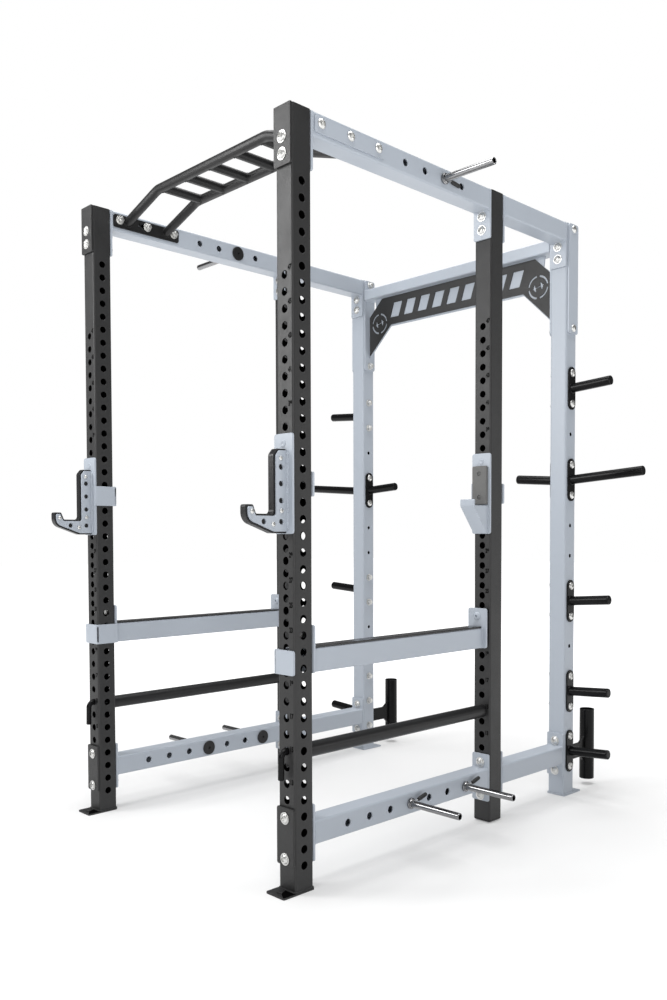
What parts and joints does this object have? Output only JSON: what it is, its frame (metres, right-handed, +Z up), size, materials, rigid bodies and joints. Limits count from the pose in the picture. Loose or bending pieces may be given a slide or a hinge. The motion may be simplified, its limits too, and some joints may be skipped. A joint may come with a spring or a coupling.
{
  "type": "power cage",
  "caption": "Full-depth squat cage of square steel uprights and flanged beams, with weight storage pegs, swinging bar hooks, flip-down and pipe safeties and a pull-up grid.",
  "frame": {"origin": "on the floor under the middle of the bounding box", "axes": "+Z up, +X to the cage's right, -Y the front where the lifter walks in, +Y the rear with the weight storage"},
  "size_m": [1.8994, 1.9564, 2.4441],
  "materials": {
    "band_peg_bottom_front_left": "bright plated",
    "band_peg_bottom_front_right": "bright plated",
    "band_peg_bottom_rear_left": "bright plated",
    "band_peg_bottom_rear_right": "bright plated",
    "band_peg_top_left": "bright plated",
    "band_peg_top_right": "bright plated",
    "bar_holder_left": "satin black powder coat",
    "bar_holder_right": "satin black powder coat",
    "front_plate_bottom_left": "black powder coat",
    "front_plate_bottom_right": "black powder coat",
    "front_plate_top_left": "black powder coat",
    "front_plate_top_right": "black powder coat",
    "jcup_front_left": "smooth blue-grey paint",
    "jcup_front_right": "smooth blue-grey paint",
    "jcup_liner_front_left": "black UHMW plastic",
    "jcup_liner_front_right": "black UHMW plastic",
    "jcup_middle_right": "smooth blue-grey paint",
    "jcup_pad_middle_right": "dark grey plastic",
    "nameplate": "black powder coat",
    "pullup_bar": "black powder coat",
    "pullup_outer_plate_left": "smooth blue-grey paint",
    "pullup_outer_plate_right": "smooth blue-grey paint",
    "rear_crossmember": "smooth blue-grey paint",
    "rear_side_plate_left": "smooth blue-grey paint",
    "rear_side_plate_right": "smooth blue-grey paint",
    "safety_left": "smooth blue-grey paint",
    "safety_pipe_left": "satin black powder coat",
    "safety_pipe_right": "satin black powder coat",
    "safety_right": "smooth blue-grey paint",
    "safety_rod_left": "satin black powder coat",
    "safety_rod_right": "satin black powder coat",
    "safety_strip_left": "black UHMW plastic",
    "safety_strip_right": "black UHMW plastic",
    "side_beam_bottom_front_left": "smooth blue-grey paint",
    "side_beam_bottom_front_right": "smooth blue-grey paint",
    "side_beam_bottom_rear_left": "smooth blue-grey paint",
    "side_beam_bottom_rear_right": "smooth blue-grey paint",
    "side_beam_top_front_left": "smooth blue-grey paint",
    "side_beam_top_front_right": "smooth blue-grey paint",
    "side_beam_top_rear_left": "smooth blue-grey paint",
    "side_beam_top_rear_right": "smooth blue-grey paint",
    "upright_front_left": "textured black powder coat",
    "upright_front_right": "textured black powder coat",
    "upright_middle_left": "textured black powder coat",
    "upright_middle_right": "textured black powder coat",
    "upright_rear_left": "smooth blue-grey paint",
    "upright_rear_right": "smooth blue-grey paint",
    "weight_peg_inner_left": "satin black powder coat",
    "weight_peg_inner_right": "satin black powder coat",
    "weight_peg_left_1": "satin black powder coat",
    "weight_peg_left_2": "satin black powder coat",
    "weight_peg_left_3": "satin black powder coat",
    "weight_peg_left_4": "satin black powder coat",
    "weight_peg_left_5": "satin black powder coat",
    "weight_peg_right_1": "satin black powder coat",
    "weight_peg_right_2": "satin black powder coat",
    "weight_peg_right_3": "satin black powder coat",
    "weight_peg_right_4": "satin black powder coat",
    "weight_peg_right_5": "satin black powder coat"
  },
  "bodies": {
    "frame": {"band_peg_bottom_front_left": "band_peg_bottom_front_left", "band_peg_bottom_front_right": "band_peg_bottom_front_right", "band_peg_bottom_rear_left": "band_peg_bottom_rear_left", "band_peg_bottom_rear_right": "band_peg_bottom_rear_right", "band_peg_top_left": "band_peg_top_left", "band_peg_top_right": "band_peg_top_right", "bar_holder_left": "bar_holder_left", "bar_holder_right": "bar_holder_right", "front_plate_bottom_left": "front_plate_bottom_left", "front_plate_bottom_right": "front_plate_bottom_right", "front_plate_top_left": "front_plate_top_left", "front_plate_top_right": "front_plate_top_right", "nameplate": "nameplate", "pullup_bar": "pullup_bar", "pullup_outer_plate_left": "pullup_outer_plate_left", "pullup_outer_plate_right": "pullup_outer_plate_right", "rear_crossmember": "rear_crossmember", "rear_side_plate_left": "rear_side_plate_left", "rear_side_plate_right": "rear_side_plate_right", "side_beam_bottom_front_left": "side_beam_bottom_front_left", "side_beam_bottom_front_right": "side_beam_bottom_front_right", "side_beam_bottom_rear_left": "side_beam_bottom_rear_left", "side_beam_bottom_rear_right": "side_beam_bottom_rear_right", "side_beam_top_front_left": "side_beam_top_front_left", "side_beam_top_front_right": "side_beam_top_front_right", "side_beam_top_rear_left": "side_beam_top_rear_left", "side_beam_top_rear_right": "side_beam_top_rear_right", "upright_front_left": "upright_front_left", "upright_front_right": "upright_front_right", "upright_middle_left": "upright_middle_left", "upright_middle_right": "upright_middle_right", "upright_rear_left": "upright_rear_left", "upright_rear_right": "upright_rear_right", "weight_peg_inner_left": "weight_peg_inner_left", "weight_peg_inner_right": "weight_peg_inner_right", "weight_peg_left_1": "weight_peg_left_1", "weight_peg_left_2": "weight_peg_left_2", "weight_peg_left_3": "weight_peg_left_3", "weight_peg_left_4": "weight_peg_left_4", "weight_peg_left_5": "weight_peg_left_5", "weight_peg_right_1": "weight_peg_right_1", "weight_peg_right_2": "weight_peg_right_2", "weight_peg_right_3": "weight_peg_right_3", "weight_peg_right_4": "weight_peg_right_4", "weight_peg_right_5": "weight_peg_right_5"},
    "jcup_front_right": {"jcup_front_right": "jcup_front_right", "jcup_liner_front_right": "jcup_liner_front_right"},
    "safety_right": {"safety_right": "safety_right", "safety_strip_right": "safety_strip_right"},
    "rod_right": {"safety_rod_right": "safety_rod_right"},
    "pipe_right": {"safety_pipe_right": "safety_pipe_right"},
    "jcup_front_left": {"jcup_front_left": "jcup_front_left", "jcup_liner_front_left": "jcup_liner_front_left"},
    "safety_left": {"safety_left": "safety_left", "safety_strip_left": "safety_strip_left"},
    "rod_left": {"safety_rod_left": "safety_rod_left"},
    "pipe_left": {"safety_pipe_left": "safety_pipe_left"},
    "jcup_middle_right": {"jcup_middle_right": "jcup_middle_right", "jcup_pad_middle_right": "jcup_pad_middle_right"}
  },
  "joints": [
    {"name": "jcup_front_right_swing", "type": "hinge", "parent": "frame", "child": "jcup_front_right", "pos_m": [0.5842, -0.81337, 1.3796], "axis": [0, 1, 0], "range_deg": [0, 90]},
    {"name": "safety_right_flip", "type": "hinge", "parent": "frame", "child": "safety_right", "pos_m": [0.5842, -0.73718, 0.7954], "axis": [0, 1, 0], "range_deg": [0, 90]},
    {"name": "rod_right_draw", "type": "slide", "parent": "frame", "child": "rod_right", "axis": [0, -1, 0], "range_m": [0, 1]},
    {"name": "pipe_right_roll", "type": "hinge", "parent": "frame", "child": "pipe_right", "pos_m": [0.5842, -0.73718, 0.42945], "axis": [0, 1, 0], "continuous": true},
    {"name": "jcup_front_left_swing", "type": "hinge", "parent": "frame", "child": "jcup_front_left", "pos_m": [-0.5842, -0.81337, 1.3796], "axis": [0, -1, 0], "range_deg": [0, 90]},
    {"name": "safety_left_flip", "type": "hinge", "parent": "frame", "child": "safety_left", "pos_m": [-0.5842, -0.73718, 0.7954], "axis": [0, -1, 0], "range_deg": [0, 90]},
    {"name": "rod_left_draw", "type": "slide", "parent": "frame", "child": "rod_left", "axis": [0, -1, 0], "range_m": [0, 1]},
    {"name": "pipe_left_roll", "type": "hinge", "parent": "frame", "child": "pipe_left", "pos_m": [-0.5842, -0.73718, 0.42945], "axis": [0, 1, 0], "continuous": true},
    {"name": "jcup_middle_right_swing", "type": "hinge", "parent": "frame", "child": "jcup_middle_right", "pos_m": [0.5842, 0.17722, 1.3796], "axis": [0, 1, 0], "range_deg": [0, 90]}
  ]
}
